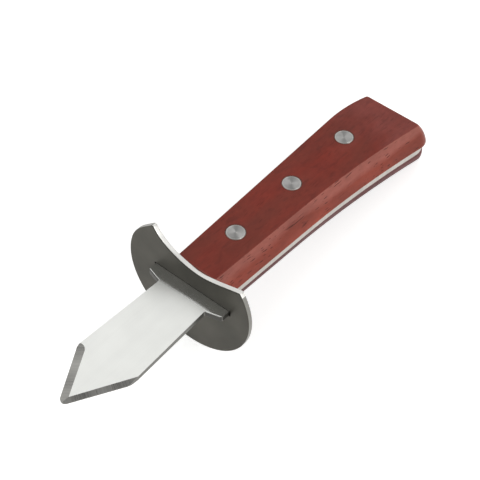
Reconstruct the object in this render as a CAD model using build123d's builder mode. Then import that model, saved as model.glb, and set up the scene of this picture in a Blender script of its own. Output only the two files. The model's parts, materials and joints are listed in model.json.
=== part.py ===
from build123d import *
from math import atan2, cos, degrees, hypot, sin
import os

os.makedirs("parts", exist_ok=True)

# An oyster knife: one stainless blank makes the blade and the full tang, a slotted
# disc guard sits on its cross bar, and two wooden scales are riveted to the tang.
# The knife's own directions are X towards the tip, Y across the blade and Z out of
# its upper face. They start where the knife's axis meets the front of the guard.

# blank of the blade and tang, with the point measured to its sharp corner
tang_thickness = 2.1
blade_reach = 62.3
blade_base_width = 19.9
blade_wide_width = 23.1
point_length = 20.4
tip_radius = 1.9
shoulder_radius = 4.5

# grinding of the blade, the left bevel's nose ending a little past the shoulder
point_thickness = 1.6
cutting_edge_thickness = 0.35
right_bevel_width = 1.65
left_bevel_width = 2.6
nose_overhang = 0.8

# cross bar through the guard
bar_width = 31.8
bar_front = 3.5
bar_root = 5.2
bar_corner_radius = 0.8
bar_root_radius = 0.5

# guard, a disc set off to the left and down from the knife's axis
guard_radius = 26.0
guard_thickness = 1.8
guard_side_shift = -1.75
guard_drop = 1.0
guard_edge_round = 0.3
horn_radius = 0.9
horn_bend_radius = 18.0
slot_gap = 0.15
slot_end_gap = 0.6
# the guard's concave top cut, from the left horn to the right one, with the outer end
# of the left horn's flat: places across and up from the axis, as shares of its radius
guard_cut_shares = [(-0.65, 0.719), (-0.485, 0.523), (-0.205, 0.385), (0.123, 0.338), (0.508, 0.419), (1.0, 0.546)]
horn_flat_share = (-0.98, 0.42)

# handle outline at the tang, seen from above
handle_end = 110.0
front_right = 11.6
front_left = 11.0
right_flare = 3.5
left_flare = 2.95
right_straight = 40.3
left_straight = 84.4
right_sweep_radius = 442.0
left_sweep_radius = 57.6
right_corner_radius = 6.0
left_corner_radius = 4.0
lower_corner_radius = 8.2

# wooden scales
handle_thickness = 18.7
upper_side_inset = 3.25
lower_side_inset = 3.45
upper_butt_inset = 5.3
lower_butt_inset = 1.8
face_corner_radius = 1.0
side_crown = 0.35
wood_edge_round = 0.35

# cutler's rivets, each a tube and a pin with turned heads, in a row that drifts to the left
rivet_first = 22.0
rivet_spacing = 30.0
rivet_side_shift = -0.05
rivet_drift = -0.25
head_diameter = 6.7
head_thickness = 2.0
head_bevel = 0.2
tube_diameter = 4.2
pin_diameter = 2.6
head_gap = 0.12
shank_gap = 0.1
pin_gap = 0.08
shank_end_gap = 0.4

# one overrun for every cut
overrun = 5.0

half_tang = tang_thickness / 2
half_handle = handle_thickness / 2
scale_thickness = half_handle - half_tang
lower_face_end = handle_end - lower_butt_inset
guard_depth = guard_radius + guard_drop
point_start = blade_reach - point_length
point_edge_length = hypot(point_length, blade_wide_width / 2)
point_angle = atan2(blade_wide_width / 2, point_length)
tip_reach = blade_reach + tip_radius - tip_radius / sin(point_angle)
nose_setback = point_edge_length + nose_overhang - left_bevel_width
shank_length = handle_thickness - 2 * head_thickness - shank_end_gap
hole_radius = tube_diameter / 2 + shank_gap
pocket_radius = head_diameter / 2 + head_gap
rivet_names = ["front", "middle", "rear"]
rivet_order = range(len(rivet_names))
rivet_places = [(-rivet_first - i * rivet_spacing, rivet_side_shift + i * rivet_drift) for i in rivet_order]

# The knife lies nose up, on the guard's rim and on the lower scale's butt edge.
tilt = atan2(guard_depth - half_handle, lower_face_end - guard_thickness)
axis_height = guard_depth * cos(tilt) + guard_thickness * sin(tilt)
tip_run = tip_reach * cos(tilt)
butt_run = handle_end * cos(tilt) + half_tang * sin(tilt)
knife = Plane(
    origin=((butt_run - tip_run) / 2, -guard_side_shift, axis_height),
    x_dir=(cos(tilt), 0, sin(tilt)),
    z_dir=(-sin(tilt), 0, cos(tilt)),
)
across = Plane(knife.origin, x_dir=knife.y_dir, z_dir=knife.x_dir)
edge_on = Plane(knife.origin, x_dir=knife.x_dir, z_dir=-knife.y_dir)
forward = Axis(knife.origin, knife.x_dir)
rising = Axis(knife.origin, knife.z_dir)


def bevel_plane(side, setback):
    """Return the plane square to one edge of the point, set back from the sharp corner: X out of the edge, Y up."""
    out = knife.x_dir * sin(point_angle) + knife.y_dir * (side * cos(point_angle))
    along = knife.x_dir * cos(point_angle) - knife.y_dir * (side * sin(point_angle))
    return Plane(knife.from_local_coords((blade_reach, 0, 0)) - along * setback, x_dir=out, z_dir=along)


def sketch_bevel(plane, width):
    """Sketch what grinding takes off both faces of one edge of the point."""
    slope = (point_thickness - cutting_edge_thickness) / 2 / width
    clear_height = point_thickness / 2 + overrun * slope
    with BuildSketch(plane) as bevel:
        with BuildLine():
            Polyline((-width - overrun, clear_height), (0, cutting_edge_thickness / 2), (0, clear_height), close=True)
        make_face()
        mirror(about=Plane.XZ)
    return bevel.sketch


def draw_side(start, flare, straight, radius):
    """Draw one side of the handle towards the butt: a straight run, then a long arc."""
    knee = (start[0] - straight, start[1] + flare * straight / handle_end)
    run = Line(start, knee)
    sweep = degrees((handle_end + overrun - straight) / radius)
    return JernArc(run @ 1, run % 1, radius, -sweep)


def draw_handle(inset):
    """Draw the closed outline of the handle, moved in by the inset and longer than the handle."""
    right_start = (-guard_thickness, front_right - inset)
    left_start = (-guard_thickness, inset - front_left)
    right_arc = draw_side(right_start, right_flare, right_straight, right_sweep_radius + inset)
    left_arc = draw_side(left_start, -left_flare, left_straight, left_sweep_radius - inset)
    Line(right_start, left_start)
    Line(right_arc @ 1, left_arc @ 1)


def sketch_handle(level, inset, end, right_radius, left_radius):
    """Sketch the handle's outline at a level, cut square at its end, with rounded butt corners."""
    with BuildSketch(knife.offset(level)) as outline:
        with BuildLine():
            draw_handle(inset)
        make_face()
        split(bisect_by=Plane.YZ.offset(-end), keep=Keep.TOP)
        fillet(outline.vertices().group_by(Axis.X)[0].sort_by(Axis.Y)[0], left_radius)
        fillet(outline.vertices().group_by(Axis.X)[0].sort_by(Axis.Y)[-1], right_radius)
    return outline.sketch


def sketch_sections(side, side_inset, butt_inset, right_radius):
    """Sketch a scale's outlines on one side of the tang: at the tang, at its crowned middle and at its flat face."""
    middle_right_radius = (right_radius + face_corner_radius) / 2
    middle_left_radius = (left_corner_radius + face_corner_radius) / 2
    middle_level = side * (half_tang + half_handle) / 2
    middle_end = handle_end - butt_inset / 2 + side_crown
    return [
        sketch_handle(side * half_tang, 0, handle_end, right_radius, left_corner_radius),
        sketch_handle(middle_level, side_inset / 2 - side_crown, middle_end, middle_right_radius, middle_left_radius),
        sketch_handle(side * half_handle, side_inset, handle_end - butt_inset, face_corner_radius, face_corner_radius),
    ]


# Blade, cross bar and tang are cut from one sheet.
with BuildPart() as blade_and_tang:
    extrude(sketch_handle(-half_tang, 0, handle_end, lower_corner_radius, left_corner_radius), amount=tang_thickness)
    with BuildSketch(knife.offset(-half_tang)) as blade_outline:
        with BuildLine():
            Polyline(
                (-guard_thickness, 0),
                (-guard_thickness, bar_width / 2),
                (bar_front, bar_width / 2),
                (bar_root, blade_base_width / 2),
                (point_start, blade_wide_width / 2),
                (blade_reach, 0),
                close=True,
            )
        make_face()
        mirror(about=Plane.XZ)
        fillet(blade_outline.vertices().sort_by(Axis.X)[-1], tip_radius)
        fillet(blade_outline.vertices().sort_by(Axis.X)[6:8], shoulder_radius)
        fillet(blade_outline.vertices().sort_by(Axis.X)[4:6], bar_root_radius)
        fillet(blade_outline.vertices().sort_by(Axis.X)[2:4], bar_corner_radius)
    extrude(amount=tang_thickness)
    # both faces of the blade are ground thinner towards the point
    with BuildSketch(edge_on):
        with BuildLine():
            Polyline(
                (bar_root, half_tang),
                (blade_reach, point_thickness / 2),
                (blade_reach + overrun, point_thickness / 2),
                (blade_reach + overrun, half_tang),
                close=True,
            )
        make_face()
        mirror(about=Plane.XZ)
    extrude(amount=blade_wide_width, both=True, mode=Mode.SUBTRACT)
    # the right bevel runs out over its shoulder
    right_bevel = sketch_bevel(bevel_plane(1, 0), right_bevel_width)
    extrude(right_bevel, amount=blade_reach, both=True, mode=Mode.SUBTRACT)
    # the left bevel ends at its shoulder in a rounded nose
    nose_plane = bevel_plane(-1, nose_setback)
    left_bevel = sketch_bevel(nose_plane, left_bevel_width)
    extrude(left_bevel, amount=blade_reach, mode=Mode.SUBTRACT)
    revolve(left_bevel, Axis(nose_plane.origin, knife.z_dir), revolution_arc=90, mode=Mode.SUBTRACT)
    # the rivets' holes
    with BuildSketch(knife.offset(-half_tang)):
        with Locations(*rivet_places):
            Circle(hole_radius)
    extrude(amount=tang_thickness, mode=Mode.SUBTRACT)
blade_and_tang.part.label = "blade_and_tang"
export_step(blade_and_tang.part, "parts/blade_and_tang.step")

# A flat disc with a concave top cut, slotted for the cross bar.
with BuildPart() as guard:
    with BuildSketch(across) as guard_face:
        with Locations((guard_side_shift, -guard_drop)):
            Circle(guard_radius)
        with BuildLine():
            cut = Spline(*[(guard_radius * y, guard_radius * z) for y, z in guard_cut_shares])
            flat = Line(cut @ 0, (guard_radius * horn_flat_share[0], guard_radius * horn_flat_share[1]))
            Polyline(cut @ 1, ((cut @ 1).X, guard_radius), ((flat @ 1).X, guard_radius), flat @ 1)
        make_face(mode=Mode.SUBTRACT)
        fillet(guard_face.vertices().sort_by(Axis.Y)[-1], horn_radius)
        fillet(guard_face.vertices().sort_by(Axis.X)[-1], horn_radius)
        fillet(guard_face.vertices().sort_by(Axis.X)[0], horn_bend_radius)
    extrude(amount=-guard_thickness)
    fillet(guard.faces().sort_by(forward)[-1].edges(), guard_edge_round)
    with BuildSketch(across):
        Rectangle(bar_width + 2 * slot_end_gap, tang_thickness + 2 * slot_gap)
    extrude(amount=-guard_thickness, mode=Mode.SUBTRACT)
guard.part.label = "guard"
export_step(guard.part, "parts/guard.step")

# The wooden scales slope in from the tang to their flat faces on crowned sides, the lower one less at the butt.
with BuildPart() as upper_scale:
    loft(sketch_sections(1, upper_side_inset, upper_butt_inset, right_corner_radius))
    fillet(upper_scale.faces().sort_by(rising)[-1].edges(), wood_edge_round)
    with BuildSketch(knife.offset(half_handle)):
        with Locations(*rivet_places):
            Circle(pocket_radius)
    extrude(amount=-head_thickness, mode=Mode.SUBTRACT)
    with BuildSketch(knife.offset(half_tang)):
        with Locations(*rivet_places):
            Circle(hole_radius)
    extrude(amount=scale_thickness, mode=Mode.SUBTRACT)
upper_scale.part.label = "upper_scale"
export_step(upper_scale.part, "parts/upper_scale.step")

with BuildPart() as lower_scale:
    loft(sketch_sections(-1, lower_side_inset, lower_butt_inset, lower_corner_radius))
    fillet(lower_scale.faces().sort_by(rising)[0].edges(), wood_edge_round)
    with BuildSketch(knife.offset(-half_handle)):
        with Locations(*rivet_places):
            Circle(pocket_radius)
    extrude(amount=head_thickness, mode=Mode.SUBTRACT)
    with BuildSketch(knife.offset(-half_handle)):
        with Locations(*rivet_places):
            Circle(hole_radius)
    extrude(amount=scale_thickness, mode=Mode.SUBTRACT)
lower_scale.part.label = "lower_scale"
export_step(lower_scale.part, "parts/lower_scale.step")

# Each rivet is a tube with a head in the upper scale and a pin with a head in the lower one.
for rivet_name, rivet_place in zip(rivet_names, rivet_places):
    with BuildPart() as rivet_tube:
        with BuildSketch(knife.offset(half_handle)):
            with Locations(rivet_place):
                Circle(head_diameter / 2)
        extrude(amount=-head_thickness)
        chamfer(rivet_tube.edges().sort_by(rising)[-1], head_bevel)
        with BuildSketch(knife.offset(half_handle - head_thickness)):
            with Locations(rivet_place):
                Circle(tube_diameter / 2)
                Circle(pin_diameter / 2 + pin_gap, mode=Mode.SUBTRACT)
        extrude(amount=-shank_length)
    rivet_tube.part.label = "rivet_tube_" + rivet_name
    export_step(rivet_tube.part, "parts/rivet_tube_" + rivet_name + ".step")

    with BuildPart() as rivet_pin:
        with BuildSketch(knife.offset(-half_handle)):
            with Locations(rivet_place):
                Circle(head_diameter / 2)
        extrude(amount=head_thickness)
        chamfer(rivet_pin.edges().sort_by(rising)[0], head_bevel)
        with BuildSketch(knife.offset(head_thickness - half_handle)):
            with Locations(rivet_place):
                Circle(pin_diameter / 2)
        extrude(amount=shank_length)
    rivet_pin.part.label = "rivet_pin_" + rivet_name
    export_step(rivet_pin.part, "parts/rivet_pin_" + rivet_name + ".step")
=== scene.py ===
"""An oyster knife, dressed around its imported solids.

One stainless blank makes the blade and the full tang, a slotted disc guard sits on
its cross bar, and two hardwood scales are held to the tang by three cutler's rivets.
"""

import json
import logging
from dataclasses import dataclass, field, replace
from enum import Enum, IntEnum
from math import asin, atan2, cos, hypot, pi, radians, remainder, sin, tau

import bpy
from mathutils import Matrix, Vector


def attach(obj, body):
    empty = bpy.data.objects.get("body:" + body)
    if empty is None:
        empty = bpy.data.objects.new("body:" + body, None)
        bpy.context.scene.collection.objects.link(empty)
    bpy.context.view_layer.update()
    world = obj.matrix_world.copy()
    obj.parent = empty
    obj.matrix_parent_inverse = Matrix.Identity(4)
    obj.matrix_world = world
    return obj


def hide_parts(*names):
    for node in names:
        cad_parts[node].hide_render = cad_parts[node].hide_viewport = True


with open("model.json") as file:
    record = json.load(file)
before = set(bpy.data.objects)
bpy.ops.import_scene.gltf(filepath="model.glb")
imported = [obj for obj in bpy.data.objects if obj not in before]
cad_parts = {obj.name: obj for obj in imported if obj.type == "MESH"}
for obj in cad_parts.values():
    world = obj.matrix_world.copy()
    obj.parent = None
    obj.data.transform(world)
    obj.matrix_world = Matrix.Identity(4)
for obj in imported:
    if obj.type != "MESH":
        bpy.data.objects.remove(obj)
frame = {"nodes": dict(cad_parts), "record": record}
bpy.context.view_layer.update()

MM = 0.001
log = logging.getLogger("oyster_knife")

Socket = bpy.types.NodeSocket
Tree = bpy.types.NodeTree
Material = bpy.types.Material
Piece = bpy.types.Object
Triple = tuple[float, float, float]
Colour = tuple[float, float, float, float]
Inputs = dict[str | int, object] | list[object]

# half of the handle's thickness, and where the mount on its upper face lies, in the knife's millimetres
HALF_HANDLE = 9.35
MOUNT = "upper_handle_face"
MOUNT_PLACE = (-37.0, 0.3, HALF_HANDLE)

# the rivets' places along and across the knife: one row, which drifts a little to the left
RIVETS = {"front": (-22.0, -0.05), "middle": (-52.0, -0.30), "rear": (-82.0, -0.55)}

# corners nearer than this many millimetres are one, and so are faces that turn by fewer degrees
MERGE_GAP = 0.002
FLAT_TURN = 0.4

# the knife's own directions to its tip and out of its upper face
FORWARD = (1.0, 0.0, 0.0)
UP = (0.0, 0.0, 1.0)

# the values that noise mostly stays between, and its middle
NOISE_LOW = 0.3
NOISE_HIGH = 0.7
NOISE_MIDDLE = 0.5

# a colour mix's share, first and second inputs and its blend, by their numbers
SHARE, FIRST, SECOND, BLEND = 0, 6, 7, 2


class Side(Enum):
    """The two halves of the handle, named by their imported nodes."""

    UPPER = "upper_scale"
    LOWER = "lower_scale"


class Half(Enum):
    """The two halves of a cutler's rivet."""

    TUBE = "rivet_tube"
    PIN = "rivet_pin"


class PalerTowards(Enum):
    """Where the wood is drawn paler, named by the knife's direction that it follows: worn paler at the butt,
    and a painted sheen highlight along the arris.
    """

    BUTT = "X"
    ARRIS = "Z"


class Lay(Enum):
    """The ways that grinding marks lie, with what stretches them where they lie along an axis."""

    ALONG = (0.03, 1.0, 1.0)
    THROUGH = (1.0, 1.0, 0.1)
    ACROSS_BEVEL = None


class BlankFinish(IntEnum):
    """The blank's finishes, with the numbers that its faces carry."""

    FLAT = 0
    BEVEL = 1
    TANG_EDGE = 2
    BLADE_EDGE = 3
    ROUNDED = 4
    BAR_FRONT = 5


class GuardFinish(IntEnum):
    """The guard's finishes, with the numbers that its faces carry."""

    PLATE = 0
    RIM = 1
    TOP_CUT = 2


class ScaleFinish(IntEnum):
    """The scales' finishes, with the numbers that their faces carry."""

    FACE = 0
    SIDE = 1
    LOWER = 2


def to_linear(hex_colour: str) -> Colour:
    """Turn an sRGB hex colour into Blender's linear colour.

    Args:
        hex_colour: six hex digits after a hash sign.

    Returns:
        Linear red, green and blue, and a full alpha.
    """
    channels = [int(hex_colour[i : i + 2], 16) / 255 for i in (1, 3, 5)]
    red, green, blue = (c / 12.92 if c <= 0.04045 else ((c + 0.055) / 1.055) ** 2.4 for c in channels)
    return red, green, blue, 1.0


def even(amount: float) -> Triple:
    """Give the same amount along, across and up."""
    return amount, amount, amount


def sky_direction(azimuth: float, elevation: float) -> Vector:
    """Give the direction of a place in the sky, from its degrees round from X and above the ground."""
    a, e = radians(azimuth), radians(elevation)
    return Vector((cos(e) * cos(a), cos(e) * sin(a), sin(e)))


def add_node(
    tree: Tree, kind: str, inputs: Inputs | None = None, give: str | int = 0, **settings: object
) -> Socket | None:
    """Add a node, set its options, and fill or link its inputs.

    Args:
        tree: the node tree that gets the node.
        kind: the node's type, without its ShaderNode prefix.
        inputs: the value or socket that each input takes, by its name or number, or in their order.
        give: the name or number of the output that is wanted.
        settings: the node's own options.

    Returns:
        The wanted output, or None from a node that has no outputs.
    """
    node = tree.nodes.new("ShaderNode" + kind)
    for option, value in settings.items():
        setattr(node, option, value)
    for name, value in inputs.items() if isinstance(inputs, dict) else enumerate(inputs or []):
        if isinstance(value, Socket):
            tree.links.new(value, node.inputs[name])
        else:
            node.inputs[name].default_value = value
    return node.outputs[give] if node.outputs else None


def new_material(name: str) -> tuple[Material, Tree]:
    """Make an empty node material.

    Args:
        name: the material's name.

    Returns:
        The material and its node tree.
    """
    material = bpy.data.materials.new(name)
    material.use_nodes = True
    material.node_tree.nodes.clear()
    return material, material.node_tree


def close_material(tree: Tree, surface: Inputs) -> None:
    """Add the shader with its inputs, and link it to the material's output."""
    shader = add_node(tree, "BsdfPrincipled", surface)
    add_node(tree, "OutputMaterial", {"Surface": shader})


def select_only(piece: Piece) -> None:
    """Deselect everything, then select one object and make it active.

    Args:
        piece: the object.
    """
    bpy.ops.object.select_all(action="DESELECT")
    piece.select_set(True)
    bpy.context.view_layer.objects.active = piece


@dataclass(frozen=True)
class KnifeSpace:
    """The knife's own directions in the row's frame: X to the tip, Y across, Z out of its upper face.

    It starts where the knife's axis meets the front of the guard, and counts in millimetres.
    """

    origin: Vector
    tilt: float

    @classmethod
    def from_record(cls, record: dict) -> "KnifeSpace":
        """Find the knife's directions from the mount on the handle's upper face.

        Args:
            record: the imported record.

        Returns:
            The knife's directions.
        """
        mount = next(m for m in record["mounts"] if m["name"] == MOUNT)
        tilt = asin(-Vector(mount["axis"]).normalized().x)
        turn = Matrix.Rotation(-tilt, 3, "Y")
        return cls(Vector(mount["pos_m"]) - turn @ Vector(MOUNT_PLACE) * MM, tilt)

    def turn(self) -> Matrix:
        """Give the turn from the knife's directions to the row's."""
        return Matrix.Rotation(-self.tilt, 3, "Y")

    def towards(self, direction: Triple) -> Vector:
        """Give the row's direction for one of the knife's own."""
        return self.turn() @ Vector(direction)

    def to_row(self) -> Matrix:
        """Give the matrix that takes the knife's millimetres to the row's metres."""
        return Matrix.Translation(self.origin) @ self.turn().to_4x4() @ Matrix.Scale(MM, 4)

    def from_row(self) -> Matrix:
        """Give the matrix that takes the row's metres to the knife's millimetres."""
        return self.to_row().inverted()

    def place(self, point: Triple | Vector) -> Vector:
        """Give the row's place of a point in the knife's millimetres."""
        return self.to_row() @ Vector(point)

    def coordinates(self, tree: Tree) -> Socket:
        """Add the nodes that turn Object coordinates into the knife's own millimetres.

        Args:
            tree: the node tree.

        Returns:
            The socket that gives the place.
        """
        mapping = {
            "Vector": add_node(tree, "TexCoord", give="Object"),
            "Location": self.origin,
            "Rotation": (0.0, -self.tilt, 0.0),
            "Scale": even(MM),
        }
        return add_node(tree, "Mapping", mapping, vector_type="TEXTURE")


@dataclass(frozen=True)
class Mottle:
    """Cloudy noise: how many spots go to a millimetre along, across and up, and how finely they break up.

    As a level it swings by so much to either side of its middle.
    """

    spots: Triple
    detail: float
    swing: float = 0.0

    def draw(self, tree: Tree, place: Socket) -> Socket:
        """Draw the noise.

        Args:
            tree: the node tree.
            place: the place in millimetres.

        Returns:
            The socket that gives the noise, from 0 to 1.
        """
        scaled = add_node(tree, "VectorMath", [place, self.spots], operation="MULTIPLY")
        return add_node(tree, "TexNoise", {"Vector": scaled, "Scale": 1.0, "Detail": self.detail})

    def level(self, tree: Tree, drawn: Socket, middle: float = 1.0) -> Socket:
        """Turn the drawn noise into a level that swings about its middle.

        Args:
            tree: the node tree.
            drawn: what draw gave.
            middle: the level's middle.

        Returns:
            The socket that gives the level.
        """
        low, high = middle - self.swing, middle + self.swing
        return add_node(tree, "MapRange", [drawn, NOISE_LOW, NOISE_HIGH, low, high])


@dataclass(frozen=True)
class Pores:
    """One size of pore, drawn as stretched spots in scattered cells, of which a share holds a pore.

    A pore fills so much of its cell, and it fades between two distances from its middle, in cells.
    """

    length: float
    width: float
    share: float
    fill: float = 0.6
    outer: float = 0.34
    inner: float = 0.24

    def draw(self, tree: Tree, grain: Socket) -> Socket:
        """Draw the pores.

        Args:
            tree: the node tree.
            grain: the place in the grain, in millimetres.

        Returns:
            The socket that is 1 in a pore and 0 beside it.
        """
        cell = (self.fill / self.length, self.fill / self.width, self.fill / self.width)
        scaled = add_node(tree, "VectorMath", [grain, cell], operation="MULTIPLY")
        distance = add_node(tree, "TexVoronoi", {"Vector": scaled, "Scale": 1.0}, "Distance")
        picked = add_node(tree, "SeparateColor", [distance.node.outputs["Color"]])
        spot = add_node(tree, "MapRange", [distance, self.outer, self.inner])
        held = add_node(tree, "Math", [picked, self.share], operation="LESS_THAN")
        return add_node(tree, "Math", [spot, held], operation="MULTIPLY")


@dataclass(frozen=True)
class EdgeWearAndSheen:
    """A sharp edge drawn paler, worn by handling, and on the wood's arris also a painted sheen highlight: how
    far in from it, in millimetres, and how strongly.

    It is full where the rounded and the flat surface's directions match no better than full_match.
    """

    reach: float
    strength: float
    full_match: float = 0.9
    samples: int = 6

    def draw(self, tree: Tree) -> Socket:
        """Find how near a place is to a sharp edge of its piece.

        Args:
            tree: the node tree.

        Returns:
            The socket that rises from 0 on a face to the wear's strength at an edge.
        """
        rounded = add_node(tree, "Bevel", {"Radius": self.reach * MM}, samples=self.samples)
        plain = add_node(tree, "NewGeometry", give="Normal")
        match = add_node(tree, "VectorMath", [rounded, plain], "Value", operation="DOT_PRODUCT")
        near = add_node(tree, "MapRange", [match, 1.0, self.full_match])
        return add_node(tree, "Math", [near, self.strength], operation="MULTIPLY")


@dataclass(frozen=True)
class GroundSteel:
    """Martensitic stainless sheet, hardened and belt ground.

    The belt leaves parallel scratches a few hundredths of a millimetre apart, so the steel has a
    satin shine with faint streaks along the belt's travel. Scratches that fine can't show at
    this size, so they are drawn as coarse as scratch_pitch and weak, over broader bands where the
    belt bit deeper. Haze is the share of its light that a fine satin scatters like a matt surface.
    Behind belt_start the belt didn't reach, and the sheet keeps its smooth rolled skin. Marks
    across a bevel are cut from the noise at streak_slice.
    """

    name: str
    colour: str
    roughness: float
    lay: Lay = Lay.ALONG
    scratch_pitch: float = 0.35
    scratch_depth: float = 0.004
    scratch_relief: float = 0.25
    band_pitch: float = 4.0
    cloud_spots: float = 0.09
    streak_slice: float = 7.1
    contrast: float = 0.06
    cloud_contrast: float = 0.03
    strong_mark: float = 0.2
    unevenness: float = 0.2
    wear_and_sheen: str = "#F2F1EE"
    edge_reach: float = 0.12
    edge_shine: float = 0.3
    haze: float = 0.0
    point_angle: float = 0.0
    belt_start: float | None = None
    belt_fade: float = 1.4
    rolled_roughness: float = 0.15
    rolled_haze: float = 0.07

    def streak_place(self, tree: Tree, place: Socket) -> Socket:
        """Stretch the place along the belt's travel, so that noise on it becomes scratches.

        Args:
            tree: the node tree.
            place: the place in the knife's millimetres.

        Returns:
            The stretched place.
        """
        if self.lay.value:
            return add_node(tree, "VectorMath", [place, self.lay.value], operation="MULTIPLY")
        along = add_node(tree, "SeparateXYZ", [place], "X")
        across = along.node.outputs["Y"]
        outwards = add_node(tree, "Math", [across], operation="ABSOLUTE")
        sideways = add_node(tree, "Math", [outwards, -sin(self.point_angle)], operation="MULTIPLY")
        edgewise = add_node(tree, "Math", [along, cos(self.point_angle), sideways], operation="MULTIPLY_ADD")
        mirrored = add_node(tree, "Math", [across], operation="SIGN")
        return add_node(tree, "CombineXYZ", [edgewise, mirrored, self.streak_slice])

    def material(self, knife: KnifeSpace) -> Material:
        """Make the steel's material.

        Args:
            knife: the knife's directions.

        Returns:
            The material.
        """
        material, tree = new_material(self.name)
        place = knife.coordinates(tree)
        streaks = self.streak_place(tree, place)
        scratches = Mottle(even(1 / self.scratch_pitch), 3.0, self.contrast)
        bands = Mottle(even(1 / self.band_pitch), 1.0, self.contrast)
        clouds = Mottle(even(self.cloud_spots), 2.0, self.cloud_contrast)
        scratched = scratches.draw(tree, streaks)
        fine = scratches.level(tree, scratched, middle=0.0)
        broad = bands.level(tree, bands.draw(tree, streaks), middle=0.0)
        cloudy = clouds.level(tree, clouds.draw(tree, place))
        marks = add_node(tree, "Math", [fine, broad], operation="ADD")
        level = add_node(tree, "Math", [marks, cloudy], operation="ADD")
        shade = {0: to_linear(self.colour)[:3], "Scale": level}
        colours = {
            SHARE: EdgeWearAndSheen(self.edge_reach, self.edge_shine).draw(tree),
            FIRST: add_node(tree, "VectorMath", shade, operation="SCALE"),
            SECOND: to_linear(self.wear_and_sheen),
        }
        smooth, rough = self.roughness * (1 - self.unevenness), self.roughness * (1 + self.unevenness)
        roughness = add_node(tree, "MapRange", [marks, -self.strong_mark, self.strong_mark, smooth, rough])
        metallic = 1.0 - self.haze
        if self.belt_start is not None:
            along = add_node(tree, "SeparateXYZ", [place], "X")
            fade = [along, self.belt_start, self.belt_start + self.belt_fade]
            metallic = add_node(tree, "MapRange", [*fade, 1.0 - self.rolled_haze, metallic])
            ground = add_node(tree, "MapRange", fade)
            roughness = add_node(tree, "Mix", {0: ground, 2: self.rolled_roughness, 3: roughness})
        bump = {"Height": scratched, "Strength": self.scratch_relief, "Distance": self.scratch_depth * MM}
        steel = {
            "Base Color": add_node(tree, "Mix", colours, BLEND, data_type="RGBA"),
            "Metallic": metallic,
            "Roughness": roughness,
            "Normal": add_node(tree, "Bump", bump),
        }
        close_material(tree, steel)
        return material


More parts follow.
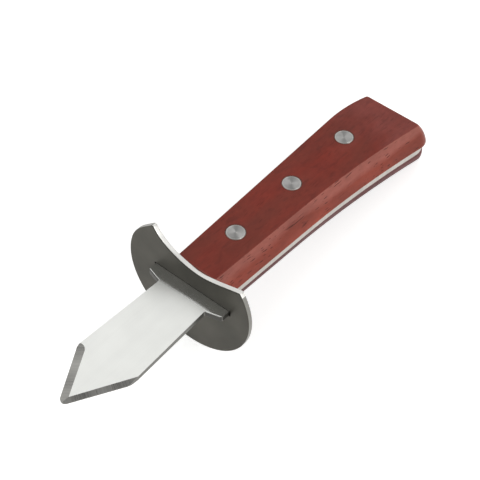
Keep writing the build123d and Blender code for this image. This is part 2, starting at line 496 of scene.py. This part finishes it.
@dataclass(frozen=True)
class OiledHardwood:
    """Dense red tropical hardwood, sawn along its grain, sanded fine and oiled.

    The oil brings up a deep red brown with a low sheen. The grain is quiet: cloudy patches of
    redder and browner wood, small darker blotches where the oil stood, fine fibres along the
    knife, and short dark pores two to four millimetres long that open where a face cuts them
    lengthwise. The grain wanders sideways a little, as a grown plank's does. Handling rubs the oil
    off near the butt, where the wood looks paler. The sides are painted paler towards the arris,
    a painted sheen highlight, and the arris itself is drawn paler, partly wear and partly painted
    sheen. A thin darker ring is drawn round each rivet's head.
    """

    name: str
    red: str
    brown: str
    # the paler colour and where it lies: wear towards the butt, a painted sheen highlight towards the arris
    wear_and_sheen: str
    paler_towards: PalerTowards
    paler_start: float
    paler_full: float
    raggedness: float = 2.4
    # the arris drawn paler: partly wear, partly a painted sheen highlight
    pale: str = "#B07868"
    pale_edge_wear_and_sheen: EdgeWearAndSheen = EdgeWearAndSheen(0.5, 0.45)
    dark: str = "#2E1210"
    pore_depth: float = 0.8
    pore_roughness: float = 0.25
    pore_relief: float = 0.6
    pore_drop: float = 0.05
    fibre_relief: float = 0.3
    fibre_height: float = 0.02
    cloud_contrast: float = 0.1
    blotch_depth: float = 0.0
    ring_outer: float = 4.0
    ring_inner: float = 3.45
    ring_depth: float = 0.75
    shine: float = 0.2
    ior: float = 1.47
    roughness: float = 0.5
    unevenness: float = 0.12
    sway_spots: float = 0.03
    sway_reach: float = 6.0
    # the noise over which red patches, crowds of pores and blotches set in
    patch_low: float = 0.35
    patch_high: float = 0.65
    crowd_low: float = 0.4
    crowd_high: float = 0.52
    blotch_low: float = 0.56
    blotch_high: float = 0.7
    sparse_share: float = 0.1
    patches: Mottle = Mottle((0.04, 0.09, 0.09), 3.0)
    clouds: Mottle = Mottle((0.05, 0.12, 0.12), 5.0)
    bands: Mottle = Mottle((0.03, 0.3, 0.3), 4.0, 0.04)
    fibres: Mottle = Mottle((0.25, 3.0, 3.0), 3.0, 0.04)
    speckles: Mottle = Mottle((0.35, 0.6, 0.6), 2.0, 0.07)
    crowding: Mottle = Mottle(even(0.08), 1.0)
    blotches: Mottle = Mottle((0.2, 0.5, 0.5), 2.0)
    coarse_pores: Pores = Pores(3.8, 0.32, 0.22)
    small_pores: Pores = Pores(2.4, 0.24, 0.24)
    cracks: Pores = Pores(12.0, 0.32, 0.03)

    def body(self, tree: Tree, place: Socket, grain: Socket, clouds: Socket) -> Socket:
        """Blend the red and the brown wood, and the paler band: worn paler at the butt, and a painted sheen
        highlight towards the arris.

        Args:
            tree: the node tree.
            place: the place in the knife's millimetres.
            grain: the place in the grain.
            clouds: the drawn clouds, which make the paler band's end ragged.

        Returns:
            The wood's colour, without its pores.
        """
        patches = [self.patches.draw(tree, grain), self.patch_low, self.patch_high]
        patched = {
            SHARE: add_node(tree, "MapRange", patches),
            FIRST: to_linear(self.brown),
            SECOND: to_linear(self.red),
        }
        ragged = (self.paler_full - self.paler_start) * self.raggedness
        middle = ragged * NOISE_MIDDLE
        towards_paler = add_node(tree, "SeparateXYZ", [place], self.paler_towards.value)
        reach = add_node(tree, "Math", [clouds, ragged, towards_paler], operation="MULTIPLY_ADD")
        # the paler band: wear at the butt, and a painted sheen highlight up the sides towards the arris
        wear_and_sheen = {
            SHARE: add_node(tree, "MapRange", [reach, self.paler_start + middle, self.paler_full + middle]),
            FIRST: add_node(tree, "Mix", patched, BLEND, data_type="RGBA"),
            SECOND: to_linear(self.wear_and_sheen),
        }
        return add_node(tree, "Mix", wear_and_sheen, BLEND, data_type="RGBA")

    def open_pores(self, tree: Tree, place: Socket, grain: Socket) -> Socket:
        """Draw the pores, crowded in some places and sparse in others, and a few long cracks.

        Args:
            tree: the node tree.
            place: the place in the knife's millimetres.
            grain: the place in the grain.

        Returns:
            The socket that rises from 0 beside a pore to the finish's pore depth in one.
        """
        coarse = self.coarse_pores.draw(tree, grain)
        small = self.small_pores.draw(tree, grain)
        crowding = [self.crowding.draw(tree, place), self.crowd_low, self.crowd_high, self.sparse_share]
        crowded = add_node(tree, "MapRange", crowding)
        both = add_node(tree, "Math", [coarse, small], operation="MAXIMUM")
        gathered = add_node(tree, "Math", [both, crowded], operation="MULTIPLY")
        opened = add_node(tree, "Math", [gathered, self.cracks.draw(tree, grain)], operation="MAXIMUM")
        return add_node(tree, "Math", [opened, self.pore_depth], operation="MULTIPLY")

    def dark_ring_round_heads(self, tree: Tree, place: Socket) -> Socket:
        """Find the thin darker ring drawn round each rivet's head.

        Args:
            tree: the node tree.
            place: the place in the knife's millimetres.

        Returns:
            The socket that rises from 0 away from a head to the ring's depth against it.
        """
        flat = add_node(tree, "VectorMath", [place, (1.0, 1.0, 0.0)], operation="MULTIPLY")
        nearest = None
        for along, across in RIVETS.values():
            away = add_node(tree, "VectorMath", [flat, (along, across, 0.0)], "Value", operation="DISTANCE")
            if nearest is not None:
                away = add_node(tree, "Math", [nearest, away], operation="MINIMUM")
            nearest = away
        ring = add_node(tree, "MapRange", [nearest, self.ring_outer, self.ring_inner])
        return add_node(tree, "Math", [ring, self.ring_depth], operation="MULTIPLY")

    def material(self, knife: KnifeSpace) -> Material:
        """Make the wood's material.

        Args:
            knife: the knife's directions, whose X is the grain's.

        Returns:
            The material.
        """
        material, tree = new_material(self.name)
        place = knife.coordinates(tree)
        wander = {"Vector": place, "Scale": self.sway_spots, "Detail": 1.0}
        drawn = add_node(tree, "TexNoise", wander, "Color")
        centred = add_node(tree, "VectorMath", [drawn, even(NOISE_MIDDLE)], operation="SUBTRACT")
        reach = (0.0, self.sway_reach, self.sway_reach)
        grain = add_node(tree, "VectorMath", [centred, reach, place], operation="MULTIPLY_ADD")
        clouds = self.clouds.draw(tree, place)
        bands = self.bands.draw(tree, grain)
        fibres = self.fibres.draw(tree, grain)
        body = self.body(tree, place, grain, clouds)
        speckles = self.speckles.draw(tree, place)
        light = replace(self.clouds, swing=self.cloud_contrast).level(tree, clouds)
        for pattern, drawn in ((self.bands, bands), (self.fibres, fibres), (self.speckles, speckles)):
            light = add_node(tree, "Math", [light, pattern.level(tree, drawn)], operation="MULTIPLY")
        pores = self.open_pores(tree, place, grain)
        spots = self.blotches.draw(tree, place)
        blotches = [spots, self.blotch_low, self.blotch_high, 0.0, self.blotch_depth]
        darkened = pores
        # the pores, the thin darker ring round each head and the blotches
        for darkening in (self.dark_ring_round_heads(tree, place), add_node(tree, "MapRange", blotches)):
            darkened = add_node(tree, "Math", [darkened, darkening], operation="MAXIMUM")
        pored = {
            SHARE: darkened,
            FIRST: add_node(tree, "VectorMath", {0: body, "Scale": light}, operation="SCALE"),
            SECOND: to_linear(self.dark),
        }
        # paler arris: partly wear, partly a painted sheen highlight
        edge_wear_and_sheen = {
            SHARE: self.pale_edge_wear_and_sheen.draw(tree),
            FIRST: add_node(tree, "Mix", pored, BLEND, data_type="RGBA"),
            SECOND: to_linear(self.pale),
        }
        oiled = replace(self.bands, swing=self.roughness * self.unevenness).level(tree, bands, self.roughness)
        roughness = add_node(tree, "Math", [pores, self.pore_roughness, oiled], operation="MULTIPLY_ADD")
        fibre_bump = {"Height": fibres, "Strength": self.fibre_relief, "Distance": self.fibre_height * MM}
        pore_bump = {
            "Height": add_node(tree, "Math", [1.0, pores], operation="SUBTRACT"),
            "Strength": self.pore_relief,
            "Distance": self.pore_drop * MM,
            "Normal": add_node(tree, "Bump", fibre_bump),
        }
        wood = {
            "Base Color": add_node(tree, "Mix", edge_wear_and_sheen, BLEND, data_type="RGBA"),
            "Roughness": roughness,
            "IOR": self.ior,
            "Specular IOR Level": self.shine,
            "Normal": add_node(tree, "Bump", pore_bump),
        }
        close_material(tree, wood)
        return material


@dataclass(frozen=True)
class TurnedSteel:
    """Soft stainless rivet wire, its head faced on a lathe and rubbed once with the wood.

    The tool leaves fine rings round the middle, which fan the light into bright and dark wedges.
    The coarsest rings are in the head's mesh, and the fine ones are the shader's anisotropy, which
    follows the turning through the head's own UV map. Under lamps this wide the wedges come out
    weak, so two lighter and two darker lobes of painted reflection are drawn over them, turned a
    little from head to head. The rim is painted lighter, a painted highlight.
    """

    name: str = "turned_rivet_steel"
    colour: str = "#A8A7A5"
    wear_and_sheen: str = "#D2D0CA"
    rim_highlight_radius: float = 2.8
    rim_highlight_fade: float = 0.4
    rim_highlight_depth: float = 0.7
    roughness: float = 0.42
    unevenness: float = 0.15
    anisotropy: float = 0.95
    lobe_contrast: float = 0.17
    lobe_phase: float = -1.93
    lobe_drift: float = 0.02
    clouds: Mottle = Mottle(even(0.9), 3.0, 0.08)
    grit: Mottle = Mottle(even(6.0), 2.0)
    unwrap: str = "turning"

    def material(self, knife: KnifeSpace) -> Material:
        """Make the rivets' material.

        Args:
            knife: the knife's directions.

        Returns:
            The material.
        """
        material, tree = new_material(self.name)
        place = knife.coordinates(tree)
        cloudy = self.clouds.level(tree, self.clouds.draw(tree, place))
        unwrapped = add_node(tree, "UVMap", uv_map=self.unwrap)
        out = add_node(tree, "SeparateXYZ", [unwrapped], "X")
        along = add_node(tree, "SeparateXYZ", [place], "X")
        # painted reflection: two lighter and two darker lobes round each head
        phase = add_node(tree, "Math", [along, self.lobe_drift, self.lobe_phase], operation="MULTIPLY_ADD")
        swing = add_node(tree, "Math", [out.node.outputs["Y"], 2 * tau, phase], operation="MULTIPLY_ADD")
        wave = add_node(tree, "Math", [swing], operation="SINE")
        lobes = add_node(tree, "MapRange", [wave, -1.0, 1.0, 1 - self.lobe_contrast, 1 + self.lobe_contrast])
        level = add_node(tree, "Math", [cloudy, lobes], operation="MULTIPLY")
        # painted highlight: the rim drawn lighter
        rim_highlight_end = self.rim_highlight_radius + self.rim_highlight_fade
        shade = {0: to_linear(self.colour)[:3], "Scale": level}
        colours = {
            SHARE: add_node(tree, "MapRange", [out, self.rim_highlight_radius, rim_highlight_end, 0.0, self.rim_highlight_depth]),
            FIRST: add_node(tree, "VectorMath", shade, operation="SCALE"),
            SECOND: to_linear(self.wear_and_sheen),
        }
        grit = replace(self.grit, swing=self.roughness * self.unevenness)
        steel = {
            "Base Color": add_node(tree, "Mix", colours, BLEND, data_type="RGBA"),
            "Metallic": 1.0,
            "Roughness": grit.level(tree, grit.draw(tree, place), self.roughness),
            "Anisotropic": self.anisotropy,
            "Tangent": add_node(tree, "Tangent", direction_type="UV_MAP", uv_map=self.unwrap),
        }
        close_material(tree, steel)
        return material


def copy_of_node(node: str, name: str) -> Piece:
    """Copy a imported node's mesh into a new piece and merge its loose triangles.

    Args:
        node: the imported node.
        name: the new piece's name.

    Returns:
        The new piece, which replaces the node.
    """
    mesh = frame["nodes"][node].data.copy()
    mesh.name = name
    mesh.materials.clear()
    piece = bpy.data.objects.new(name, mesh)
    bpy.context.scene.collection.objects.link(piece)
    select_only(piece)
    bpy.ops.mesh.customdata_custom_splitnormals_clear()
    bpy.ops.object.mode_set(mode="EDIT")
    bpy.ops.mesh.select_all(action="SELECT")
    bpy.ops.mesh.remove_doubles(threshold=MERGE_GAP * MM)
    bpy.ops.mesh.select_all(action="SELECT")
    bpy.ops.mesh.dissolve_limited(angle_limit=radians(FLAT_TURN))
    bpy.ops.object.mode_set(mode="OBJECT")
    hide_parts(node)
    return piece


def ease_edges(piece: Piece, width: float, angle: float, finish: int = -1) -> None:
    """Round a piece's sharp edges a little and smooth its shading.

    Args:
        piece: the piece.
        width: the width of the rounding, in millimetres.
        angle: the turn in degrees above which an edge is sharp.
        finish: the number of the rounding's own finish, or -1 to carry on the faces beside it.
    """
    select_only(piece)
    rounding = piece.modifiers.new("eased_edges", "BEVEL")
    rounding.width = width * MM
    rounding.segments = 2
    rounding.limit_method = "ANGLE"
    rounding.angle_limit = radians(angle)
    rounding.material = finish
    bpy.ops.object.modifier_apply(modifier=rounding.name)
    bpy.ops.object.shade_smooth_by_angle(angle=radians(angle))
    flats = piece.modifiers.new("flats_stay_flat", "WEIGHTED_NORMAL")
    flats.keep_sharp = True
    flats.weight = 100
    bpy.ops.object.modifier_apply(modifier=flats.name)


def hand_over(piece: Piece, materials: list[Material]) -> None:
    """Give a piece its materials, and let it ride on the knife's one body.

    Args:
        piece: the finished piece.
        materials: its materials, in the order of its faces' numbers.
    """
    for material in materials:
        piece.data.materials.append(material)
    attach(piece, "root")
    log.info("%s: %d faces, %d materials", piece.name, len(piece.data.polygons), len(materials))


@dataclass
class SteelBlank:
    """The blade, its cross bar and the full tang, cut from one sheet and ground.

    A face lies flat, slopes as a bevel or looks forward when its normal leans so far that way.
    """

    knife: KnifeSpace
    blade_wide_width: float = 23.1
    point_length: float = 20.4
    bar_root: float = 5.2
    bar_round: float = 0.4
    edge_ease: float = 0.12
    edge_turn: float = 12.0
    flat_lean: float = 0.992
    bevel_lean: float = 0.85
    forward_lean: float = 0.5

    def finishes(self) -> dict[BlankFinish, GroundSteel]:
        """List the blank's finishes.

        Returns:
            The steel of each finish.
        """
        return {
            BlankFinish.FLAT: GroundSteel(
                "satin_ground_steel", "#F4F5F1", 0.42,
                contrast=0.01, cloud_contrast=0.025, haze=0.3, belt_start=3.9,
            ),
            BlankFinish.BEVEL: GroundSteel(
                "cross_ground_steel", "#A09F9B", 0.3, Lay.ACROSS_BEVEL,
                scratch_pitch=0.5, band_pitch=6.0, contrast=0.15, cloud_contrast=0.12,
                point_angle=atan2(self.blade_wide_width / 2, self.point_length),
            ),
            BlankFinish.TANG_EDGE: GroundSteel(
                "sheared_edge_steel", "#BCB8B2", 0.38, Lay.THROUGH, contrast=0.08
            ),
            # the blade's sides are drawn darker than the tang's edges, a painted dark reflection
            BlankFinish.BLADE_EDGE: GroundSteel(
                "painted_dark_sheared_steel", "#767571", 0.4, Lay.THROUGH, contrast=0.08
            ),
            # the rounded and eased edges take a lighter finish, a painted highlight line
            BlankFinish.ROUNDED: GroundSteel("painted_highlight_edge_steel", "#E6E5E1", 0.3, contrast=0.02),
            # the cross bar's front faces are drawn dark, a painted shade
            BlankFinish.BAR_FRONT: GroundSteel("painted_shade_bar_steel", "#4F4E4B", 0.45, Lay.THROUGH),
        }

    def sort_faces(self, piece: Piece) -> None:
        """Number each face by its finish.

        Args:
            piece: the blank.
        """
        from_row = self.knife.from_row()
        up, forward = self.knife.towards(UP), self.knife.towards(FORWARD)
        for face in piece.data.polygons:
            lean = abs(face.normal.dot(up))
            along = (from_row @ face.center).x
            if lean > self.flat_lean:
                face.material_index = BlankFinish.FLAT
            elif lean > self.bevel_lean:
                face.material_index = BlankFinish.BEVEL
            # the cross bar's front faces take the dark finish, a painted shade
            elif 0 < along < self.bar_root and face.normal.dot(forward) > self.forward_lean:
                face.material_index = BlankFinish.BAR_FRONT
            else:
                # the blade's sides take the darkened finish, a painted dark reflection
                face.material_index = BlankFinish.BLADE_EDGE if along > 0 else BlankFinish.TANG_EDGE

    def round_bar(self, piece: Piece) -> None:
        """Round the upper front edges of the cross bar, where the belt's first strokes ran out.

        Args:
            piece: the blank, with its faces numbered.
        """
        mesh = piece.data
        up = self.knife.towards(UP)
        beside: dict[tuple[int, int], set[int | None]] = {}
        for face in mesh.polygons:
            below = face.material_index == BlankFinish.FLAT and face.normal.dot(up) < 0
            for edge in face.edge_keys:
                beside.setdefault(edge, set()).add(None if below else face.material_index)
        select_only(piece)
        bpy.ops.object.mode_set(mode="EDIT")
        bpy.ops.mesh.select_mode(type="EDGE")
        bpy.ops.mesh.select_all(action="DESELECT")
        bpy.ops.object.mode_set(mode="OBJECT")
        for edge in mesh.edges:
            edge.select = beside[edge.key] == {BlankFinish.FLAT, BlankFinish.BAR_FRONT}
        bpy.ops.object.mode_set(mode="EDIT")
        rounded = BlankFinish.ROUNDED
        bpy.ops.mesh.bevel(offset=self.bar_round * MM, segments=3, affect="EDGES", material=rounded)
        bpy.ops.object.mode_set(mode="OBJECT")

    def build(self) -> None:
        """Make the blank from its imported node, with its edges eased."""
        piece = copy_of_node("blade_and_tang", "steel_blank")
        self.sort_faces(piece)
        self.round_bar(piece)
        ease_edges(piece, self.edge_ease, self.edge_turn, finish=BlankFinish.ROUNDED)
        finishes = self.finishes()
        hand_over(piece, [finishes[n].material(self.knife) for n in BlankFinish])


@dataclass
class Guard:
    """The flat disc guard, with its concave ground top cut.

    Its centre lies to the left of the knife's axis and below it. The left horn ends in a flat as
    dull as the rim, and the rim's upper right end, where the horn's rounding catches the light,
    takes the bright cut's finish as a painted highlight.
    """

    knife: KnifeSpace
    radius: float = 26.0
    side_shift: float = -1.75
    drop: float = 1.0
    left_horn: float = -17.2
    right_horn_height: float = 11.3
    rim_band: float = 0.6
    slot_half_height: float = 2.0
    slot_margin: float = 2.0
    plate_lean: float = 0.35
    edge_ease: float = 0.08
    edge_turn: float = 40.0

    def finishes(self) -> dict[GuardFinish, GroundSteel]:
        """List the guard's finishes.

        Returns:
            The steel of each finish.
        """
        return {
            # the plate is drawn darker than its dull grey steel, a painted dark reflection
            GuardFinish.PLATE: GroundSteel(
                "painted_dark_plate_steel", "#4E4C46", 0.44, contrast=0.03, cloud_contrast=0.14, edge_shine=0.0
            ),
            GuardFinish.RIM: GroundSteel("rim_steel", "#878681", 0.35, Lay.THROUGH),
            GuardFinish.TOP_CUT: GroundSteel("bright_cut_steel", "#DEDDD9", 0.3, Lay.THROUGH, contrast=0.03),
        }

    def sort_faces(self, piece: Piece) -> None:
        """Number each face by its finish, with the slot's walls given the plate's darkened finish, a painted
        shade.

        Args:
            piece: the guard.
        """
        from_row = self.knife.from_row()
        forward = self.knife.towards(FORWARD)
        for face in piece.data.polygons:
            centre = from_row @ face.center
            outwards = hypot(centre.y - self.side_shift, centre.z + self.drop)
            in_slot = abs(centre.z) < self.slot_half_height and outwards < self.radius - self.slot_margin
            on_rim = outwards > self.radius - self.rim_band and centre.z < self.right_horn_height
            if in_slot or abs(face.normal.dot(forward)) > self.plate_lean:
                face.material_index = GuardFinish.PLATE
            else:
                # above right_horn_height the rim takes the bright cut's finish, a painted highlight
                dull = on_rim or centre.y < self.left_horn
                face.material_index = GuardFinish.RIM if dull else GuardFinish.TOP_CUT

    def build(self) -> None:
        """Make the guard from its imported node, with its edges eased."""
        piece = copy_of_node("guard", "disc_guard")
        self.sort_faces(piece)
        ease_edges(piece, self.edge_ease, self.edge_turn)
        finishes = self.finishes()
        hand_over(piece, [finishes[n].material(self.knife) for n in GuardFinish])


@dataclass
class Scales:
    """The two wooden halves of the handle, whose sides lean less than flat_lean."""

    knife: KnifeSpace
    edge_ease: float = 0.12
    edge_turn: float = 35.0
    flat_lean: float = 0.8

    def finishes(self) -> dict[ScaleFinish, OiledHardwood]:
        """List the wood's finishes: the upper scale's flat face, its sanded sides, and the lower scale,
        darkened all over as painted shade.

        Returns:
            The wood of each finish.
        """
        return {
            ScaleFinish.FACE: OiledHardwood(
                "oiled_hardwood_face", "#812F23", "#793428", "#843F37", PalerTowards.BUTT, -80.0, -98.0,
                pore_depth=0.24, blotch_depth=0.22,
            ),
            # the sides' paler band towards the arris is a painted sheen highlight
            ScaleFinish.SIDE: OiledHardwood(
                "oiled_hardwood_side", "#8F4031", "#7F382B", "#96554A", PalerTowards.ARRIS, 5.2, 7.4,
                cloud_contrast=0.16, shine=0.22, roughness=0.45,
            ),
            # the whole lower scale is drawn darker, a painted shade
            ScaleFinish.LOWER: OiledHardwood(
                "painted_shade_hardwood", "#5F2929", "#572626", "#642E2E", PalerTowards.BUTT, -86.0, -96.0, shine=0.12
            ),
        }

    def sort_faces(self, piece: Piece, side: Side) -> None:
        """Number each face by its finish.

        Args:
            piece: a scale.
            side: which scale it is.
        """
        up = self.knife.towards(UP)
        for face in piece.data.polygons:
            upper = ScaleFinish.SIDE if abs(face.normal.dot(up)) < self.flat_lean else ScaleFinish.FACE
            # the lower scale takes the darkened finish, a painted shade
            face.material_index = ScaleFinish.LOWER if side is Side.LOWER else upper

    def build(self) -> None:
        """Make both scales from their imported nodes, with their edges eased."""
        finishes = self.finishes()
        materials = [finishes[n].material(self.knife) for n in ScaleFinish]
        for side in Side:
            piece = copy_of_node(side.value, "wooden_" + side.value)
            self.sort_faces(piece, side)
            ease_edges(piece, self.edge_ease, self.edge_turn)
            hand_over(piece, materials)


@dataclass
class Rivets:
    """Three cutler's rivets: a tube half in the upper scale, a pin half in the lower one.

    While one is modelled, a cap is the flat faces that lie within level_slack of its level.
    """

    knife: KnifeSpace
    finish: TurnedSteel = field(default_factory=TurnedSteel)
    head_diameter: float = 6.7
    head_thickness: float = 2.0
    head_round: float = 0.2
    tube_diameter: float = 4.2
    pin_diameter: float = 2.6
    pin_gap: float = 0.08
    shank_length: float = 14.3
    ring_pitch: float = 0.3
    ring_depth: float = 0.01
    smooth_turn: float = 30.0
    flat_lean: float = 0.99
    level_slack: float = 0.001
    sides: int = 96

    def select_cap(self, piece: Piece, level: float) -> None:
        """Select the flat faces of a piece in edit mode that lie at a level.

        Args:
            piece: the piece, in edit mode.
            level: the height of the faces in millimetres.
        """
        bpy.ops.mesh.select_all(action="DESELECT")
        bpy.ops.object.mode_set(mode="OBJECT")
        for face in piece.data.polygons:
            near = abs(face.center.z / MM - level) < self.level_slack
            face.select = near and abs(face.normal.z) > self.flat_lean
        bpy.ops.object.mode_set(mode="EDIT")

    def turn_head(self, name: str) -> Piece:
        """Model a rivet head, its turned face up, with the face's middle at the origin.

        Args:
            name: the new piece's name.

        Returns:
            The head, in edit mode, with its lower face selected.
        """
        radius = self.head_diameter / 2
        bpy.ops.object.select_all(action="DESELECT")
        bpy.ops.mesh.primitive_cylinder_add(
            vertices=self.sides,
            radius=radius * MM,
            depth=self.head_thickness * MM,
            location=(0, 0, -self.head_thickness / 2 * MM),
        )
        piece = bpy.context.object
        piece.name = piece.data.name = name
        bpy.ops.object.transform_apply(location=True, rotation=True, scale=True)
        bpy.ops.object.mode_set(mode="EDIT")
        bpy.ops.mesh.select_mode(type="FACE")
        self.select_cap(piece, 0.0)
        bpy.ops.mesh.bevel(offset=self.head_round * MM, segments=3, affect="EDGES")
        self.select_cap(piece, 0.0)
        for ring in range(int((radius - self.head_round) / self.ring_pitch) * 2 - 1):
            bpy.ops.mesh.inset(thickness=self.ring_pitch / 2 * MM, depth=0)
            depth = -self.ring_depth if ring % 2 == 0 else self.ring_depth
            bpy.ops.transform.translate(value=(0, 0, depth * MM))
        self.select_cap(piece, -self.head_thickness)
        return piece

    def unwrap(self, piece: Piece) -> None:
        """Give a turned piece a UV map that runs out from its middle and down, then round its axis.

        Args:
            piece: the piece, with its axis on Z.
        """
        while piece.data.uv_layers:
            piece.data.uv_layers.remove(piece.data.uv_layers[0])
        layer = piece.data.uv_layers.new(name=self.finish.unwrap)
        for face in piece.data.polygons:
            middle = atan2(face.center.y, face.center.x)
            for corner in face.loop_indices:
                spot = piece.data.vertices[piece.data.loops[corner].vertex_index].co
                swing = remainder(atan2(spot.y, spot.x) - middle, tau)
                layer.uv[corner].vector = ((hypot(spot.x, spot.y) - spot.z) / MM, (middle + swing) / tau)

    def model(self, half: Half) -> Piece:
        """Model one half of a rivet, pointing down from its head.

        Args:
            half: the tube or the pin.

        Returns:
            The piece, at the row's origin.
        """
        piece = self.turn_head(half.value)
        shank = self.tube_diameter if half is Half.TUBE else self.pin_diameter
        bpy.ops.mesh.inset(thickness=(self.head_diameter - shank) / 2 * MM, depth=0)
        bpy.ops.mesh.extrude_region_move(TRANSFORM_OT_translate={"value": (0, 0, -self.shank_length * MM)})
        if half is Half.TUBE:
            wall = (self.tube_diameter - self.pin_diameter) / 2 - self.pin_gap
            bpy.ops.mesh.inset(thickness=wall * MM, depth=0)
            bpy.ops.mesh.extrude_region_move(TRANSFORM_OT_translate={"value": (0, 0, self.shank_length * MM)})
        bpy.ops.mesh.select_all(action="SELECT")
        bpy.ops.mesh.normals_make_consistent(inside=False)
        bpy.ops.object.mode_set(mode="OBJECT")
        select_only(piece)
        bpy.ops.object.shade_smooth_by_angle(angle=radians(self.smooth_turn))
        self.unwrap(piece)
        return piece

    def build(self) -> None:
        """Model each half once, and put a copy of it in each place."""
        material = self.finish.material(self.knife)
        for half in Half:
            pattern = self.model(half)
            turned = Matrix.Rotation(0.0 if half is Half.TUBE else pi, 4, "X")
            level = HALF_HANDLE if half is Half.TUBE else -HALF_HANDLE
            for place, (along, across) in RIVETS.items():
                mesh = pattern.data.copy()
                mesh.transform(self.knife.turn().to_4x4() @ turned)
                mesh.transform(Matrix.Translation(self.knife.place((along, across, level))))
                mesh.name = f"turned_{half.value}_{place}"
                piece = bpy.data.objects.new(mesh.name, mesh)
                bpy.context.scene.collection.objects.link(piece)
                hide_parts(f"{half.value}_{place}")
                hand_over(piece, [material])
            bpy.data.objects.remove(pattern)


@dataclass(frozen=True)
class Lamp:
    """One soft distant lamp, as wide in the sky as a studio panel close to the knife."""

    name: str
    azimuth: float
    elevation: float
    width: float
    brightness: float

    def build(self) -> None:
        """Hang the lamp, shining on the knife from its direction."""
        data = bpy.data.lights.new(self.name, "SUN")
        data.angle = radians(self.width)
        data.energy = self.brightness * pi * sin(radians(self.width / 2)) ** 2
        lamp = bpy.data.objects.new(self.name, data)
        bpy.context.scene.collection.objects.link(lamp)
        lamp.location = sky_direction(self.azimuth, self.elevation)
        lamp.rotation_mode = "QUATERNION"
        lamp.rotation_quaternion = lamp.location.to_track_quat("Z", "Y")
        log.info("%s: strength %.2f from %.0f, %.0f", self.name, data.energy, self.azimuth, self.elevation)


@dataclass
class Studio:
    """A pale paper floor, soft lamps, a dim room and the camera.

    The camera's directions and its aim are the knife's own. The room is as bright as its walls up
    to one height, and as its ceiling from another, in degrees above the floor.
    """

    knife: KnifeSpace
    floor_size: float = 60.0
    paper: str = "#E8E8E6"
    paper_lift: float = 0.62
    paper_spots: float = 0.4
    paper_swing: float = 0.01
    paper_roughness: float = 0.9
    paper_shine: float = 0.1
    white: str = "#FFFFFF"
    lamps: tuple[Lamp, ...] = (
        Lamp("panel_behind_left", 213.0, 40.0, 65.0, 0.62),
        Lamp("panel_right", 100.0, 22.0, 40.0, 3.4),
        Lamp("panel_behind_right", 146.0, 41.0, 36.0, 0.85),
        Lamp("panel_front_left", 313.0, 55.0, 50.0, 0.42),
    )
    wall_light: float = 0.5
    wall_height: float = 8.0
    ceiling_light: float = 0.38
    ceiling_height: float = 35.0
    camera_azimuth: float = 38.821
    camera_elevation: float = 48.011
    camera_roll: float = 1.722
    camera_distance: float = 482.3
    camera_aim: Triple = (-26.82, -2.0, 0.0)
    lens: float = 106.76
    sensor: float = 36.0
    nearest: float = 0.01
    farthest: float = 100.0

    def dress_floor(self) -> Material:
        """Make the floor's matt white paper, lifted to white where nothing shades it.

        Returns:
            The material.
        """
        material, tree = new_material("matt_white_paper")
        camera_ray = add_node(tree, "LightPath", give="Is Camera Ray")
        rays = camera_ray.node.outputs
        seen = add_node(tree, "Math", [camera_ray, rays["Is Glossy Ray"]], operation="MAXIMUM")
        seen = add_node(tree, "Math", [seen, rays["Is Transmission Ray"]], operation="MAXIMUM")
        place = add_node(tree, "TexCoord", give="Object")
        fibres = Mottle(even(self.paper_spots / MM), 2.0, self.paper_swing)
        shade = {0: to_linear(self.paper)[:3], "Scale": fibres.level(tree, fibres.draw(tree, place))}
        paper = {
            "Base Color": add_node(tree, "VectorMath", shade, operation="SCALE"),
            "Roughness": self.paper_roughness,
            "Specular IOR Level": self.paper_shine,
            "Emission Color": to_linear(self.white),
            "Emission Strength": add_node(tree, "Math", [seen, self.paper_lift], operation="MULTIPLY"),
        }
        close_material(tree, paper)
        return material

    def lay_floor(self) -> None:
        """Lay the floor."""
        bpy.ops.object.select_all(action="DESELECT")
        bpy.ops.mesh.primitive_plane_add(size=self.floor_size, location=(0, 0, 0))
        floor = bpy.context.object
        floor.name = floor.data.name = "paper_floor"
        floor.data.materials.append(self.dress_floor())

    def light_room(self) -> None:
        """Light the room: white walls round the table and a dimmer ceiling."""
        world = bpy.data.worlds.new("pale_room")
        bpy.context.scene.world = world
        world.use_nodes = True
        tree = world.node_tree
        tree.nodes.clear()
        height = add_node(tree, "SeparateXYZ", [add_node(tree, "TexCoord", give="Generated")], "Z")
        heights = [sin(radians(self.wall_height)), sin(radians(self.ceiling_height))]
        strength = add_node(tree, "MapRange", [height, *heights, self.wall_light, self.ceiling_light])
        glow = add_node(tree, "Background", {"Color": to_linear(self.white), "Strength": strength})
        add_node(tree, "OutputWorld", {"Surface": glow})

    def place_camera(self) -> None:
        """Set up the camera where the photograph was taken from."""
        data = bpy.data.cameras.new("photo_camera")
        data.lens = self.lens
        data.sensor_width = self.sensor
        data.clip_start = self.nearest
        data.clip_end = self.farthest
        camera = bpy.data.objects.new("photo_camera", data)
        bpy.context.scene.collection.objects.link(camera)
        back = sky_direction(self.camera_azimuth, self.camera_elevation)
        level = Vector(UP).cross(back).normalized()
        right = Matrix.Rotation(radians(self.camera_roll), 3, back) @ level
        axes = Matrix((right, back.cross(right), back)).transposed()
        camera.location = self.knife.place(Vector(self.camera_aim) + back * self.camera_distance)
        camera.rotation_mode = "QUATERNION"
        camera.rotation_quaternion = (self.knife.turn() @ axes).to_quaternion()
        bpy.context.scene.camera = camera

    def build(self) -> None:
        """Lay the floor, hang the lamps, light the room and place the camera."""
        self.lay_floor()
        for lamp in self.lamps:
            lamp.build()
        self.light_room()
        self.place_camera()
        bpy.context.scene.view_settings.view_transform = "Standard"


def main() -> None:
    """Build the knife and its studio."""
    logging.basicConfig(level=logging.INFO, format="%(name)s %(message)s")
    knife = KnifeSpace.from_record(frame["record"])
    log.info("knife starts at %s, tilt %.5f", tuple(round(v, 5) for v in knife.origin), knife.tilt)
    for part in (SteelBlank, Guard, Scales, Rivets, Studio):
        part(knife).build()
    bpy.context.view_layer.update()


if __name__ == "__main__":
    main()
